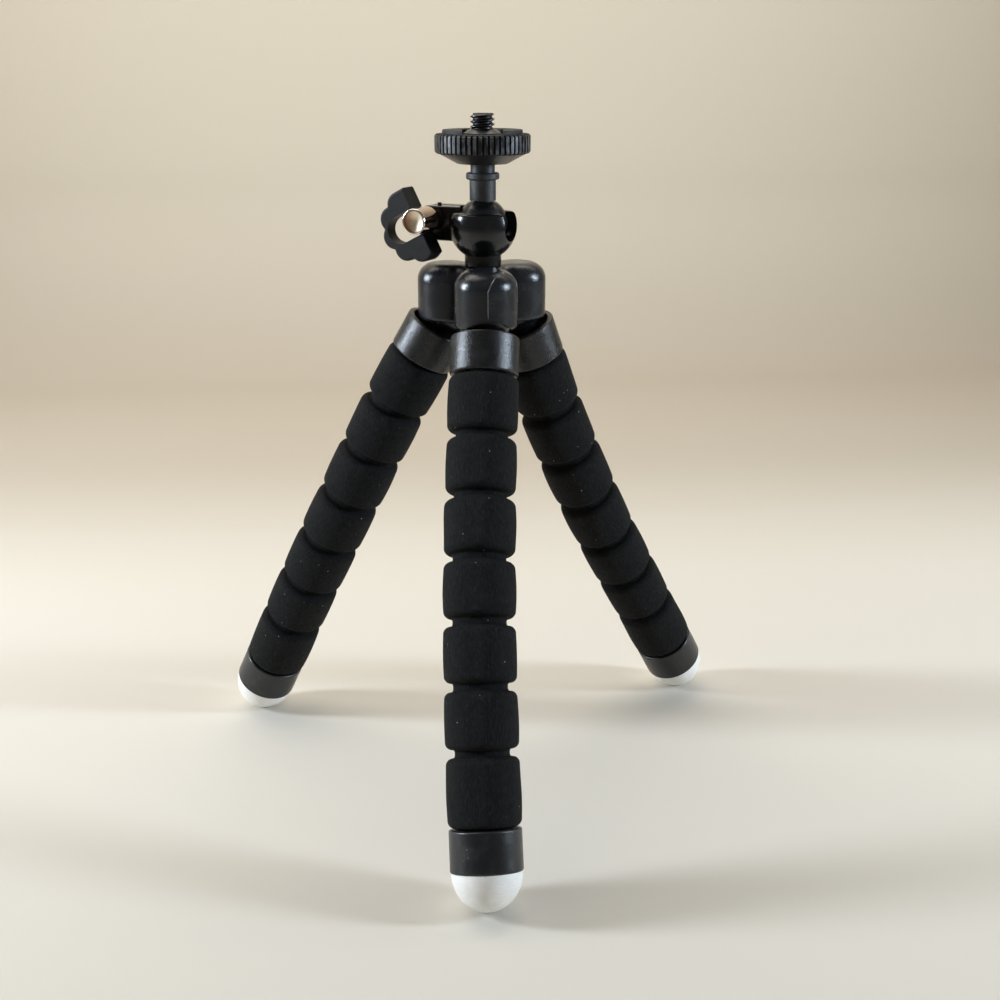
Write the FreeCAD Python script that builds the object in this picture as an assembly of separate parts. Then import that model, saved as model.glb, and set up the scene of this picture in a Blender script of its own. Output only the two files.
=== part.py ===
"""Small tabletop camera tripod: ball head on a three-lobed hub, with three jointed foam legs.

Lengths are in millimetres and angles in degrees.  The head is described around a vertical axis,
with heights counted from the plane of the three hip pivots.  An azimuth of 0 points along -Y and
grows towards +X.  Each leg is described along its own axis, downwards from its hip pivot.
"""

import FreeCAD
import Part
import math
import os

Vector = FreeCAD.Vector
UP = Vector(0, 0, 1)
ORIGIN = Vector(0, 0, 0)

# Fits
moving_gap = 0.3
shaft_gap = 0.08
ball_gap = 0.2
seat_gap = 0.05
pad_seat_gap = 0.1

# Ball and its housing. The ball stands a little above the middle of its housing.
housing_height = 22.7
housing_radius = 9.0
housing_rim_rise = 3.6
housing_rim_round = 1.1
ball_rise = 0.7
ball_height = housing_height + ball_rise
ball_radius = 6.5
neck_radius = 4.85
neck_spigot_radius = 2.45
neck_spigot_length = 6.0
notch_azimuth = 60.0
notch_half_width = 3.8
notch_floor_rise = 0.0

# Stem, from the ball up to the ring under the wheel
stem_length = 11.1
stem_ring_radius = 4.35
stem_ring_height = 1.8
stem_ring_bottom = ball_height + stem_length
stem_ring_top = stem_ring_bottom + stem_ring_height
stem_ring_round = 0.5
stem_radius = 3.45
stem_spigot_radius = 2.3

# Lock wheel and pad
wheel_stand = 2.25
wheel_height = 7.45
wheel_cone_height = 2.65
wheel_bottom = stem_ring_top + wheel_stand
wheel_top = wheel_bottom + wheel_height
knurl_bottom = wheel_bottom + wheel_cone_height
wheel_radius = 12.45
wheel_groove_depth = 0.7
wheel_ribs = 54
wheel_groove_share = 0.42
wheel_flat_radius = 6.6
wheel_edge_chamfer = 0.45
wheel_recess_radius = 5.25
pad_radius = 10.4
pad_inner_radius = 5.6
pad_height = 0.95
pad_edge_round = 0.25
pad_gap_width = 10.4
pad_gap_azimuth = -4.0

# Camera screw, 1/4 inch with 20 turns to the inch
screw_radius = 3.175
screw_pitch = 1.27
screw_root_radius = 2.45
screw_length = 3.8
shoulder_height = 1.35
shoulder_bottom = wheel_top - seat_gap
screw_base = shoulder_bottom + shoulder_height
screw_top = screw_base + screw_length
shoulder_radius = 4.95
shoulder_top_radius = 3.05
screw_tip_chamfer = 0.5

# Clamp on the housing
ear_azimuth = -120.0
ear_slit = 1.4
ear_face = 3.8
ear_reach = 17.8
ear_root_reach = 4.5
slit_inner_reach = 3.0
ear_bottom_rise = -4.1
ear_top_rise = 4.9
ear_end_round = 3.6
ear_edge_round = 0.5
ear_nub_radius = 0.55
ear_nub_height = 0.8
ear_nub_reach = 11.6
clamp_reach = 13.4
clamp_rise = 1.6
bolt_radius = 2.15
bolt_thread_radius = 1.9
bolt_end_proud = 0.2
nut_across_flats = 5.5
nut_thickness = 2.2
barrel_radius = 3.35
barrel_cup_radius = 2.85
barrel_cup_depth = 0.9
barrel_cup_dish = 0.8
barrel_front = 13.6
barrel_back = 5.6
barrel_seat = 8.0
knob_core_radius = 7.0
knob_centre = (-1.2, -0.45)
knob_front = 12.5
knob_back = 6.5
knob_chord = 0.45
knob_turn = 27.4
knob_lobes = 5
knob_lobe_middle = 183.0
knob_lobe_step = 39.8
knob_lobe_radius = 3.3
knob_lobe_offset = 6.5
knob_tip_high = (0.33, 9.2)
knob_tip_low = (0.33, -9.5)
knob_back_taper = 11.9
knob_valley_round = 0.5
knob_slot_width = 7.1
knob_slot_end = 8.9
knob_edge_round = 0.6

# Hub
lobe_offset = 10.5
lobe_radius = 8.25
lobe_valley_radius = 1.5
hub_top = 12.5
hub_bottom = -2.6
hub_top_round = 4.6
hub_bottom_round = 1.2
notch_arch_radius = 8.5
notch_arch_centre = -7.9
hub_screw_radius = 1.5
hub_screw_head_radius = 2.7
hub_screw_head_height = 1.9
hub_screw_drive_width = 2.0
hub_screw_length = 8.0
washer_radius = 2.9
washer_thickness = 0.5
hub_counterbore_radius = 3.05
hub_counterbore_top = 3.0
anchor_depth = 3.4

# Leg, along its own axis from the hip pivot
knuckle_radius = 7.0
knuckle_neck_radius = 4.8
knuckle_flare_radius = 6.7
collar_radius = 9.0
collar_top = 5.4
collar_bottom = 15.64
collar_bore_radius = 7.7
collar_cup_depth = 5.0
collar_edge_round = 0.7
knuckle_plug_radius = 4.5
knuckle_plug_length = 2.2
foam_radius = 9.12
foam_crown = 0.12
foam_edge_round = 1.75
foam_gap = 2.0
groove_pitch = 16.0
grooves = 6
last_run = 18.0
sleeve_radius = 6.9
sleeve_start = 13.2
wire_radius = 1.7
hip_bend_half_length = 2.5
cap_radius = 9.0
cap_length = 10.2
cap_edge_round = 0.5
cap_socket_depth = 3.4
cap_wire_depth = 6.6
tip_radius = 8.75
tip_height = 9.6
tip_spigot_radius = 5.5
tip_spigot_length = 4.0

# How each leg is posed: the azimuth of its hub lobe, the azimuth it leaves the hub with, how far
# that azimuth drifts by the foot, and the tilt from the vertical of its seven straight runs.
legs = {
    "front": (0.0, -9.0, 9.6, [26.77, 30.17, 32.27, 30.47, 27.67, 26.47, 26.77]),
    "left": (-120.0, -105.9, -22.7, [29.99, 27.39, 27.19, 27.79, 27.89, 27.89, 28.39]),
    "right": (120.0, 118.8, 4.4, [22.25, 25.25, 27.25, 29.45, 31.25, 32.25, 31.65]),
}


def ring_direction(azimuth):
    """Horizontal unit vector at an azimuth counted from -Y towards +X."""
    angle = math.radians(azimuth)
    return Vector(math.sin(angle), -math.cos(angle), 0)


def run_direction(tilt, azimuth):
    """Unit vector pointing down and out, tilted from the vertical."""
    out = ring_direction(azimuth) * math.sin(math.radians(tilt))
    return out - UP * math.cos(math.radians(tilt))


def turned(profile):
    """Solid of revolution about the Z axis from a closed list of edges in the XZ plane."""
    face = Part.Face(Part.Wire(profile))
    return face.revolve(ORIGIN, UP, 360)


def outline(points):
    """Straight edges through (radius, height) points, closed back to the first."""
    corners = [Vector(r, 0, z) for r, z in points]
    return [Part.LineSegment(a, b).toShape() for a, b in zip(corners, corners[1:] + corners[:1])]


def lathe(points):
    return turned(outline(points))


def disc(radius, low, high):
    return Part.makeCylinder(radius, high - low, Vector(0, 0, low), UP)


def ring(outer, inner, low, high):
    return disc(outer, low, high).cut(disc(inner, low, high))


def rod(start, direction, radius, length):
    return Part.makeCylinder(radius, length, start, direction)


def rounded(shape, size, chosen):
    """Rounds the edges that the test picks out."""
    edges = [edge for edge in shape.Edges if chosen(edge)]
    return shape.makeFillet(size, edges)


def is_circle(edge, radius, height):
    """True for a circular edge about the Z axis of this radius at this height."""
    if edge.Degenerated or not isinstance(edge.Curve, Part.Circle):
        return False
    near_height = abs(edge.Curve.Center.z - height) < 1e-4
    return near_height and abs(edge.Curve.Radius - radius) < 1e-4


def round_circle(shape, size, radius, height):
    return rounded(shape, size, lambda edge: is_circle(edge, radius, height))


def at_level(edge, height):
    """True for an edge that lies wholly at one height."""
    box = edge.BoundBox
    return abs(box.ZMin - height) < 1e-4 and abs(box.ZMax - height) < 1e-4


# Head


def camera_screw():
    """Fixed stud: helical thread above a conical shoulder, with a plain shank below it."""
    shank_bottom = stem_ring_bottom - 2.0
    shank = lathe([
        (0, shank_bottom),
        (screw_radius - moving_gap, shank_bottom),
        (screw_radius - moving_gap, stem_ring_top),
        (screw_radius, stem_ring_top),
        (screw_radius, shoulder_bottom),
        (shoulder_radius, shoulder_bottom),
        (shoulder_radius, shoulder_bottom + 0.2),
        (shoulder_top_radius, screw_base),
        (0, screw_base),
    ])
    clear = 1.0
    envelope = lathe([
        (0, screw_base),
        (screw_radius + clear, screw_base),
        (screw_radius + clear, screw_top - screw_tip_chamfer - clear),
        (screw_radius - screw_tip_chamfer, screw_top),
        (0, screw_top),
    ])
    core = disc(screw_root_radius, screw_base, screw_top)
    thread = core.fuse(thread_ridge()).common(envelope)
    return shank.fuse(thread).removeSplitter()


def thread_ridge():
    """One helical ridge of triangular section, its crest a little flat at the stud's radius."""
    low = screw_base - 0.2
    turns_height = screw_top - low + 0.2
    path = Part.makeHelix(screw_pitch, turns_height, screw_root_radius)
    path.translate(Vector(0, 0, low))
    buried = screw_root_radius - 0.2
    half_base = 0.46 * screw_pitch
    crest = 0.06 * screw_pitch
    corners = [
        Vector(buried, 0, low - half_base),
        Vector(screw_radius, 0, low - crest),
        Vector(screw_radius, 0, low + crest),
        Vector(buried, 0, low + half_base),
    ]
    section = Part.makePolygon(corners + corners[:1])
    return Part.Wire(path.Edges).makePipeShell([section], True, True)


def lock_wheel():
    """Knurled nut that climbs the stud and clamps the camera base from below."""
    inner = wheel_radius - wheel_groove_depth
    envelope = lathe([
        (screw_radius + shaft_gap, wheel_bottom),
        (wheel_flat_radius, wheel_bottom),
        (inner - 0.4, knurl_bottom - 0.15),
        (wheel_radius - wheel_edge_chamfer, knurl_bottom),
        (wheel_radius, knurl_bottom + wheel_edge_chamfer),
        (wheel_radius, wheel_top - wheel_edge_chamfer),
        (wheel_radius - wheel_edge_chamfer, wheel_top),
        (wheel_recess_radius, wheel_top),
        (wheel_recess_radius, shoulder_bottom - moving_gap),
        (screw_radius + shaft_gap, shoulder_bottom - moving_gap),
    ])
    return envelope.common(knurl_prism(inner))


def knurl_prism(inner):
    """Prism whose rim has narrow grooves between flat-topped ribs."""
    pitch = 360.0 / wheel_ribs
    half_rib = 0.5 * pitch * (1 - wheel_groove_share)
    half_floor = 0.5 * pitch * wheel_groove_share * 0.55
    corners = []
    for index in range(wheel_ribs):
        middle = index * pitch
        for radius, offset in (
            (inner, half_floor - 0.5 * pitch),
            (wheel_radius + 0.01, -half_rib),
            (wheel_radius + 0.01, half_rib),
            (inner, 0.5 * pitch - half_floor),
        ):
            corners.append(ring_direction(middle + offset) * radius)
    base = Part.Face(Part.makePolygon(corners + corners[:1]))
    base.translate(Vector(0, 0, wheel_bottom - 1))
    return base.extrude(UP * (wheel_top - wheel_bottom + 2))


def mount_pad():
    """Soft C-shaped ring on top of the lock wheel; it rises with the wheel without turning."""
    low = wheel_top + pad_seat_gap
    top = low + pad_height
    body = ring(pad_radius, pad_inner_radius, low, top)
    body = round_circle(body, pad_edge_round, pad_radius, top)
    body = round_circle(body, pad_edge_round, pad_inner_radius, top)
    gap = Part.makeBox(pad_gap_width, pad_radius + 1, pad_height + 2,
                       Vector(-pad_gap_width / 2.0, -pad_radius - 1, low - 1))
    gap.rotate(ORIGIN, UP, pad_gap_azimuth)
    return body.cut(gap)


def stem():
    """Plain post between the ball and the stud, with a ring at its top."""
    spigot_end = ball_height - 3.0
    post_foot = ball_height + math.sqrt(ball_radius ** 2 - stem_radius ** 2) + moving_gap
    body = lathe([
        (0, spigot_end),
        (stem_spigot_radius, spigot_end),
        (stem_spigot_radius, post_foot),
        (stem_radius, post_foot),
        (stem_radius, stem_ring_bottom),
        (stem_ring_radius, stem_ring_bottom),
        (stem_ring_radius, stem_ring_top),
        (0, stem_ring_top),
    ])
    body = round_circle(body, stem_ring_round, stem_ring_radius, stem_ring_top)
    body = round_circle(body, stem_ring_round, stem_ring_radius, stem_ring_bottom)
    socket = disc(screw_radius - moving_gap, stem_ring_bottom - 2.0, stem_ring_top)
    return body.cut(socket)


def ball():
    """Clamped ball, bored for the stem's spigot."""
    sphere = Part.makeSphere(ball_radius, Vector(0, 0, ball_height))
    flat = ball_height + math.sqrt(ball_radius ** 2 - stem_radius ** 2)
    lid = disc(ball_radius, flat, flat + ball_radius)
    bore = disc(stem_spigot_radius + shaft_gap, ball_height - 3.3, flat + 1)
    return sphere.cut(lid).cut(bore)


# Clamp


def clamp_placement():
    """Frame of the clamp screw: X from the screw to the ball, Y up, Z out to the knob."""
    inward = ring_direction(ear_azimuth) * -1
    along = ring_direction(ear_azimuth + 90)
    centre = inward * -clamp_reach + UP * (housing_height + clamp_rise)
    return FreeCAD.Placement(centre, FreeCAD.Rotation(inward, UP, along, "ZXY"))


def in_clamp(shape):
    placed = shape.copy()
    placed.Placement = clamp_placement().multiply(placed.Placement)
    return placed


def ear_block():
    """Both ears in one block around the clamp screw, before the slit is sawn."""
    low = ear_bottom_rise - clamp_rise
    high = ear_top_rise - clamp_rise
    root = clamp_reach - ear_root_reach
    end = clamp_reach - ear_reach
    block = Part.makeBox(root - end, high - low, 2 * ear_face, Vector(end, low, -ear_face))
    block = rounded(block, ear_end_round, lambda edge: ear_end_corner(edge, end))
    block = rounded(block, ear_edge_round, lambda edge: ear_face_edge(edge, root))
    nub_foot = Vector(clamp_reach - ear_nub_reach, high - 0.2, 0.5 * (ear_face + ear_slit / 2))
    nub = Part.makeCylinder(ear_nub_radius, ear_nub_height + 0.2, nub_foot, Vector(0, 1, 0))
    return block.fuse(nub)


def ear_end_corner(edge, end):
    """True for the two long corners at the ears' outer end."""
    box = edge.BoundBox
    return box.ZLength > 2 * ear_face - 0.01 and abs(box.Center.x - end) < 1e-3


def ear_face_edge(edge, root):
    """True for the edges around either flat face of the ears, but not at their root."""
    box = edge.BoundBox
    on_face = box.ZLength < 1e-4 and abs(abs(box.ZMin) - ear_face) < 1e-4
    return on_face and box.XMin < root - 0.01


def clamp_slit():
    """Saw cut between the ears, running on through the housing wall."""
    start = clamp_reach - ear_reach - 1
    length = ear_reach - slit_inner_reach + 1
    low = ear_bottom_rise - clamp_rise - 2
    return Part.makeBox(length, 14, ear_slit, Vector(start, low, -ear_slit / 2))


def clamp_bolt():
    """Plain shank outside the ears, thinner and threaded inside them."""
    start = ear_face + seat_gap
    neck = Part.makeCylinder(bolt_radius, barrel_seat - start, Vector(0, 0, start))
    end = -ear_face - bolt_end_proud
    thread = Part.makeCylinder(bolt_thread_radius - seat_gap, start - end, Vector(0, 0, end))
    return in_clamp(neck.fuse(thread))


def clamp_nut():
    """Hexagon nut let into the far ear."""
    radius = nut_across_flats / math.sqrt(3)
    corners = []
    for index in range(6):
        angle = math.radians(60 * index)
        corners.append(Vector(radius * math.cos(angle), radius * math.sin(angle), -ear_face))
    plate = Part.Face(Part.makePolygon(corners + corners[:1])).extrude(UP * nut_thickness)
    hole = Part.makeCylinder(bolt_thread_radius, nut_thickness, Vector(0, 0, -ear_face))
    return in_clamp(plate.cut(hole))


def clamp_barrel():
    """Bright cap pressed on the bolt's outer end, with a shallow dished cup in its face."""
    length = barrel_front - barrel_back
    outside = Part.makeCylinder(barrel_radius, length, Vector(0, 0, barrel_back))
    outside = round_circle(outside, 0.35, barrel_radius, barrel_front)
    outside = round_circle(outside, 0.5, barrel_radius, barrel_back)
    deepest = Vector(0, 0, barrel_front - barrel_cup_depth - barrel_cup_dish)
    hollow = Part.makeCylinder(barrel_cup_radius, barrel_cup_depth + barrel_cup_dish, deepest)
    bowl_radius = (barrel_cup_radius ** 2 + barrel_cup_dish ** 2) / (2 * barrel_cup_dish)
    bowl = Part.makeSphere(bowl_radius, deepest + UP * bowl_radius)
    shank = Part.makeCylinder(bolt_radius, barrel_seat - barrel_back, Vector(0, 0, barrel_back))
    return in_clamp(outside.cut(hollow.common(bowl)).cut(shank))


def clamp_knob():
    """Half of a lobed disc, cut along a chord and slotted to slip over the barrel."""
    depth = knob_front - knob_back
    foot = Vector(knob_centre[0], knob_centre[1], knob_back)
    middles = []
    for index in range(knob_lobes):
        angle = math.radians(knob_lobe_middle + knob_lobe_step * (index - (knob_lobes - 1) / 2.0))
        middles.append(foot + Vector(math.cos(angle), math.sin(angle), 0) * knob_lobe_offset)
    lobes = [Part.makeCylinder(knob_lobe_radius, depth, middle) for middle in middles]
    high_end = knob_end_run(middles[0], knob_tip_high, 1)
    low_end = knob_end_run(middles[-1], knob_tip_low, -1)
    plan = [middles[0]] + high_end + low_end[::-1] + [middles[-1], middles[0]]
    ends = Part.Face(Part.makePolygon(plan)).extrude(UP * depth)
    body = Part.makeCylinder(knob_core_radius, depth, foot).fuse(lobes + [ends]).removeSplitter()
    body = rounded(body, knob_valley_round, lambda edge: knob_valley(edge, depth))
    body = rounded(body, knob_edge_round, lambda edge: edge.BoundBox.ZLength < 1e-4)
    side = Vector(knob_chord, -2 * knob_core_radius, knob_back - 1)
    body = body.cut(Part.makeBox(3 * knob_core_radius, 4 * knob_core_radius, depth + 2, side))
    slot_round = knob_slot_width / 2.0
    slot_centre = slot_round - knob_slot_end
    slot = Part.makeBox(
        knob_chord + 2 - slot_centre, knob_slot_width, depth + 2,
        Vector(slot_centre, -slot_round, knob_back - 1),
    )
    slot = slot.fuse(Part.makeCylinder(slot_round, depth + 2, Vector(slot_centre, 0, knob_back - 1)))
    back = Part.makeBox(4 * knob_core_radius, 4 * knob_core_radius, depth,
                        Vector(-4 * knob_core_radius, -2 * knob_core_radius, -depth))
    back.rotate(ORIGIN, Vector(0, 1, 0), knob_back_taper)
    back.translate(Vector(knob_chord, 0, knob_back))
    body = body.cut([slot, back])
    body.rotate(ORIGIN, UP, knob_turn)
    return in_clamp(body)


def knob_end_run(middle, tip, side):
    """Points of the straight run from an end lobe through the tip on the chord, and past it."""
    toward = Vector(tip[0], tip[1], knob_back) - middle
    angle = math.atan2(toward.y, toward.x) + side * math.acos(knob_lobe_radius / toward.Length)
    touch = middle + Vector(math.cos(angle), math.sin(angle), 0) * knob_lobe_radius
    run = Vector(tip[0], tip[1], knob_back) - touch
    return [touch, touch + run * ((knob_chord + 2.0 - touch.x) / run.x)]


def knob_valley(edge, depth):
    """True for the sharp lines between two lobes, or between a lobe and the core."""
    box = edge.BoundBox
    rim = math.hypot(box.Center.x - knob_centre[0], box.Center.y - knob_centre[1])
    seam = isinstance(edge.Curve, Part.Line) and len(edge.Vertexes) == 2
    return seam and box.ZLength > depth - 0.01 and rim < knob_lobe_offset + knob_lobe_radius - 0.3


# Housing


def ball_housing():
    """Split cup around the ball with its neck, its clamp ears and the stem notch."""
    rim = housing_height + housing_rim_rise
    sphere = Part.makeSphere(housing_radius, Vector(0, 0, housing_height))
    sphere = sphere.cut(disc(housing_radius + 1, rim, rim + housing_radius))
    rim_radius = math.sqrt(housing_radius ** 2 - housing_rim_rise ** 2)
    sphere = round_circle(sphere, housing_rim_round, rim_radius, rim)
    neck = disc(neck_radius, hub_top, housing_height)
    spigot = disc(neck_spigot_radius, hub_top - neck_spigot_length, hub_top)
    body = sphere.fuse([neck, spigot, in_clamp(ear_block())])
    cavity = Part.makeSphere(ball_radius + ball_gap, Vector(0, 0, ball_height))
    mouth_radius = math.sqrt((ball_radius + ball_gap) ** 2 - (rim - ball_height) ** 2)
    mouth = disc(mouth_radius, rim - 0.5, rim + 4)
    reach = ear_face + 2
    bolt_hole = Part.makeCylinder(bolt_thread_radius + shaft_gap, 2 * reach, Vector(0, 0, -reach))
    screw_hole = disc(hub_screw_radius + seat_gap, hub_top - neck_spigot_length - 1,
                      hub_counterbore_top + hub_screw_length + 0.5)
    body = body.cut([cavity, mouth, in_clamp(clamp_slit()), in_clamp(bolt_hole),
                     in_clamp(nut_pocket()), stem_notch(), screw_hole])
    return body


def nut_pocket():
    """Round pocket that holds the nut in the far ear."""
    radius = nut_across_flats / math.sqrt(3) + seat_gap
    return Part.makeCylinder(radius, nut_thickness + 1, Vector(0, 0, -ear_face - 1))


def stem_notch():
    """U-shaped notch in the rim that lets the stem lie down on one side."""
    out = ring_direction(notch_azimuth)
    floor = UP * (housing_height + notch_floor_rise)
    channel = rod(floor, out, notch_half_width, housing_radius + 2)
    side = ring_direction(notch_azimuth + 90) * notch_half_width
    top = UP * (housing_radius + 2)
    slot = Part.makePolygon([floor - side, floor + side, floor + side + top,
                             floor - side + top, floor - side])
    return channel.fuse(Part.Face(slot).extrude(out * (housing_radius + 2)))


# Hub and its screw


def hub_outline():
    """Three round lobes joined by small tangent valleys, as one closed wire."""
    reach = lobe_radius + lobe_valley_radius
    half = lobe_offset / 2.0
    valley_offset = half + math.sqrt(reach ** 2 - (lobe_offset * math.sqrt(3) / 2) ** 2)
    edges = []
    for azimuth in (0.0, 120.0, 240.0):
        lobe = ring_direction(azimuth) * lobe_offset
        before = ring_direction(azimuth - 60) * valley_offset
        after = ring_direction(azimuth + 60) * valley_offset
        following = ring_direction(azimuth + 120) * lobe_offset
        first = lobe + (before - lobe) * (lobe_radius / reach)
        last = lobe + (after - lobe) * (lobe_radius / reach)
        outer = lobe + ring_direction(azimuth) * lobe_radius
        edges.append(Part.Arc(first, outer, last).toShape())
        dip = after - ring_direction(azimuth + 60) * lobe_valley_radius
        start = following + (after - following) * (lobe_radius / reach)
        edges.append(Part.Arc(last, dip, start).toShape())
    return Part.Wire(edges)


def hub():
    """Three-lobed hub with a ball socket under each lobe."""
    base = Part.Face(hub_outline())
    base.translate(UP * hub_bottom)
    body = base.extrude(UP * (hub_top - hub_bottom))
    body = rounded(body, hub_top_round, lambda edge: at_level(edge, hub_top))
    body = rounded(body, hub_bottom_round, lambda edge: at_level(edge, hub_bottom))
    cuts = [
        disc(neck_spigot_radius + seat_gap, hub_top - neck_spigot_length - 0.3, hub_top + 1),
        disc(hub_counterbore_radius, hub_bottom - 1, hub_counterbore_top),
        disc(hub_screw_radius + seat_gap, hub_counterbore_top - 1, hub_top),
    ]
    for azimuth in (0.0, 120.0, 240.0):
        cuts.extend(lobe_cuts(azimuth))
    return body.cut(cuts)


def lobe_cuts(azimuth):
    """Socket, wire anchor and outer arch of one lobe."""
    pivot = ring_direction(azimuth) * lobe_offset
    socket_radius = knuckle_radius + moving_gap
    socket = Part.makeSphere(socket_radius, pivot)
    mouth = rod(pivot - UP * 8, UP, socket_radius, 8)
    anchor = rod(pivot, UP, wire_radius + moving_gap, socket_radius + anchor_depth)
    arch = rod(pivot + UP * notch_arch_centre, ring_direction(azimuth), notch_arch_radius, 14)
    return [socket, mouth, anchor, arch]


def hub_screw():
    """Pan-head screw that holds the neck to the hub from below."""
    seat = hub_counterbore_top - washer_thickness
    head = disc(hub_screw_head_radius, seat - hub_screw_head_height, seat)
    head = round_circle(head, 0.6, hub_screw_head_radius, seat - hub_screw_head_height)
    shank = disc(hub_screw_radius, seat, hub_counterbore_top + hub_screw_length)
    slot = Part.makeBox(2 * hub_screw_head_radius, 0.6, 0.9,
                        Vector(-hub_screw_head_radius, -0.3, seat - hub_screw_head_height))
    cross = slot.copy()
    cross.rotate(ORIGIN, UP, 90)
    arms = slot.fuse(cross).common(disc(hub_screw_drive_width, hub_bottom, hub_top))
    return head.fuse(shank).cut(arms)


def hub_washer():
    low = hub_counterbore_top - washer_thickness
    return ring(washer_radius, hub_screw_radius + seat_gap, low, hub_counterbore_top)


# Legs


def leg_knuckle():
    """Ball-ended knuckle with a neck, a plug for the collar and a flared bore for the wire."""
    bore = wire_radius + moving_gap
    seat = -(collar_top + collar_cup_depth)
    body = Part.makeSphere(knuckle_radius, ORIGIN)
    body = body.fuse([
        disc(knuckle_neck_radius, seat, 0),
        disc(knuckle_plug_radius - seat_gap, seat - knuckle_plug_length, seat),
    ])
    brim = knuckle_radius + 1
    flare = lathe([(0, -1), (bore, -1), (knuckle_flare_radius, brim), (0, brim)])
    return body.cut([disc(bore, seat - knuckle_plug_length - 1, 0), flare])


def leg_collar():
    """Open cup around the knuckle's neck, bored below for the sleeve."""
    seat = -(collar_top + collar_cup_depth)
    ledge = seat - knuckle_plug_length
    body = lathe([
        (knuckle_plug_radius, seat),
        (collar_bore_radius, seat),
        (collar_bore_radius, -collar_top),
        (collar_radius, -collar_top),
        (collar_radius, -collar_bottom),
        (sleeve_radius + moving_gap, -collar_bottom),
        (sleeve_radius + moving_gap, ledge),
        (knuckle_plug_radius, ledge),
    ])
    body = round_circle(body, 0.5, collar_radius, -collar_top)
    return round_circle(body, collar_edge_round, collar_radius, -collar_bottom)


def foam_segment(length):
    """Foam tube hanging from the origin, its sides a little crowned and its ends rounded."""
    inner = sleeve_radius + moving_gap
    edge = foam_edge_round
    quarter = edge * (1 - math.sqrt(0.5))
    top_inner = Vector(inner, 0, 0)
    top_outer = Vector(foam_radius - edge, 0, 0)
    side_top = Vector(foam_radius, 0, -edge)
    side_bottom = Vector(foam_radius, 0, edge - length)
    low_outer = Vector(foam_radius - edge, 0, -length)
    low_inner = Vector(inner, 0, -length)
    crown = Vector(foam_radius + foam_crown, 0, -length / 2.0)
    profile = [
        Part.LineSegment(top_inner, top_outer).toShape(),
        Part.Arc(top_outer, Vector(foam_radius - quarter, 0, -quarter), side_top).toShape(),
        Part.Arc(side_top, crown, side_bottom).toShape(),
        Part.Arc(side_bottom, Vector(foam_radius - quarter, 0, quarter - length), low_outer).toShape(),
        Part.LineSegment(low_outer, low_inner).toShape(),
        Part.LineSegment(low_inner, top_inner).toShape(),
    ]
    return turned(profile)


def end_cap():
    """Hard cap on the last segment, with a spigot below it for the foot tip."""
    body = lathe([
        (0, 0),
        (cap_radius, 0),
        (cap_radius, -cap_length),
        (tip_spigot_radius, -cap_length),
        (tip_spigot_radius, -cap_length - tip_spigot_length),
        (0, -cap_length - tip_spigot_length),
    ])
    body = round_circle(body, cap_edge_round, cap_radius, 0)
    body = round_circle(body, cap_edge_round, cap_radius, -cap_length)
    socket = disc(sleeve_radius + moving_gap, -cap_socket_depth, 1)
    anchor = disc(wire_radius + moving_gap, -cap_socket_depth - cap_wire_depth, 1)
    return body.cut([socket, anchor])


def foot_tip():
    """White dome, hollow for the cap's spigot."""
    top = Vector(0, 0, -cap_length)
    start = Vector(tip_radius, 0, -cap_length)
    end = Vector(0, 0, -cap_length - tip_height)
    curve = Part.Ellipse(end, start, top)
    angle_from = curve.parameter(end)
    angle_to = curve.parameter(start)
    low, high = sorted((angle_from, angle_to))
    if high - low > math.pi:
        low, high = high, low + 2 * math.pi
    arc = curve.toShape(low, high)
    profile = [
        Part.LineSegment(top, start).toShape(),
        arc,
        Part.LineSegment(end, top).toShape(),
    ]
    dome = turned(Part.__sortEdges__(profile))
    hollow = disc(tip_spigot_radius + seat_gap, -cap_length - tip_spigot_length - seat_gap, -cap_length + 1)
    return dome.cut(hollow)


def leg_stations(pose):
    """Pivot points and straight runs of one leg.

    Returns a list of (point, tilt, azimuth), one for the hip and one for each groove: the run
    that starts at the point, with its tilt and its azimuth.
    """
    lobe, start, drift, tilts = pose
    point = ring_direction(lobe) * lobe_offset
    stations = [(point, tilts[0], start)]
    length = collar_bottom + groove_pitch
    for index in range(grooves):
        tilt = tilts[index]
        azimuth = start + drift * index / grooves
        point = point + run_direction(tilt, azimuth) * length
        stations.append((point, tilts[index + 1], start + drift * (index + 1) / grooves))
        length = groove_pitch
    return stations


def on_run(shape, station, distance=0.0):
    """Places a piece, built hanging from the origin, on a run at a distance from its start."""
    point, tilt, azimuth = station
    turn = FreeCAD.Rotation(UP, azimuth).multiply(FreeCAD.Rotation(Vector(1, 0, 0), -tilt))
    placed = shape.copy()
    start = point + run_direction(tilt, azimuth) * distance
    placed.Placement = FreeCAD.Placement(start, turn).multiply(placed.Placement)
    return placed


def bent_path(points, halves):
    """Straight runs through the points, joined by arcs tangent to both sides.

    Each corner's arc takes up its own half length on both sides of the corner.
    """
    edges = []
    here = points[0]
    for before, corner, after, half in zip(points, points[1:], points[2:], halves):
        incoming = (corner - before).normalize()
        outgoing = (after - corner).normalize()
        turn = incoming.getAngle(outgoing)
        if turn < 1e-4:
            continue
        start = corner - incoming * half
        end = corner + outgoing * half
        inward = (outgoing - incoming).normalize()
        radius = half / math.tan(turn / 2)
        sag = radius / math.cos(turn / 2) - radius
        edges.append(Part.LineSegment(here, start).toShape())
        edges.append(Part.Arc(start, corner + inward * sag, end).toShape())
        here = end
    edges.append(Part.LineSegment(here, points[-1]).toShape())
    return Part.Wire(edges)


def bar_along(points, halves, radius):
    """Round bar swept along the bent path through the points."""
    path = bent_path(points, halves)
    heading = (points[1] - points[0]).normalize()
    section = Part.Wire(Part.makeCircle(radius, points[0], heading))
    return path.makePipeShell([section], True, False)


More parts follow.
